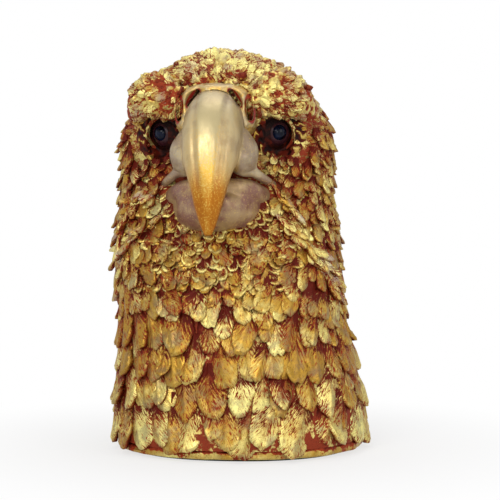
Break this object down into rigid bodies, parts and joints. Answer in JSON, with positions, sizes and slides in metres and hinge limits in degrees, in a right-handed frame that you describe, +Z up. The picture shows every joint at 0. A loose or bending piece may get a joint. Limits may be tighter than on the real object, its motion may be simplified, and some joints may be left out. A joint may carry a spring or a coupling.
{
  "type": "eagle head bust",
  "caption": "Desk bust of an eagle's head and neck: hollow bronze castings gilded over red bole, layered feathers, hooked beak, glass eyes, closing plate and felt pad",
  "frame": {"origin": "centre of the underside of the felt pad, where the bust rests", "axes": "+Z up, the beak points along -Y, the eagle's left side is +X"},
  "size_m": [0.187, 0.2018, 0.2879],
  "materials": {
    "gilded_casting": "gold leaf worn back to red bole",
    "gilded_beak": "burnished gold leaf",
    "gilded_feathers": "gold leaf worn back to red bole",
    "gilded_rim": "gold leaf worn back to red bole",
    "raw_bronze": "as cast",
    "steel": "zinc plated",
    "felt": "felt",
    "eye_enamel": "gloss",
    "eye_glass": "polished"
  },
  "bodies": {
    "root": {"neck_casting": "gilded_casting", "head_casting": "gilded_casting", "left_brow": "gilded_casting", "right_brow": "gilded_casting", "upper_beak": "gilded_beak", "lower_beak": "gilded_beak", "cere": "gilded_beak", "neck_feathers_1": "gilded_feathers", "neck_feathers_2": "gilded_feathers", "neck_feathers_3": "gilded_feathers", "neck_feathers_4": "gilded_feathers", "neck_feathers_5": "gilded_feathers", "neck_feathers_6": "gilded_feathers", "neck_feathers_7": "gilded_feathers", "neck_feathers_8": "gilded_feathers", "head_feathers_1": "gilded_feathers", "head_feathers_2": "gilded_feathers", "head_feathers_3": "gilded_feathers", "head_feathers_4": "gilded_feathers", "head_feathers_5": "gilded_feathers", "head_feathers_6": "gilded_feathers", "left_cheek_feathers": "gilded_feathers", "right_cheek_feathers": "gilded_feathers", "crown_feathers_1": "gilded_feathers", "crown_feathers_2": "gilded_feathers", "crown_feathers_3": "gilded_feathers", "crown_feathers_4": "gilded_feathers", "crown_feathers_5": "gilded_feathers", "crown_feathers_6": "gilded_feathers", "base_plate": "gilded_rim", "felt_pad": "felt", "base_lugs": "raw_bronze", "joint_sleeve": "raw_bronze", "joint_pins": "raw_bronze", "base_screws": "steel", "beak_stud": "steel", "beak_washer": "steel", "beak_nut": "steel", "jaw_dowels": "steel", "left_eye_cup": "raw_bronze", "left_eyelid": "gilded_casting", "left_eyeball": "eye_enamel", "left_iris": "eye_glass", "right_eye_cup": "raw_bronze", "right_eyelid": "gilded_casting", "right_eyeball": "eye_enamel", "right_iris": "eye_glass"}
  },
  "joints": []
}
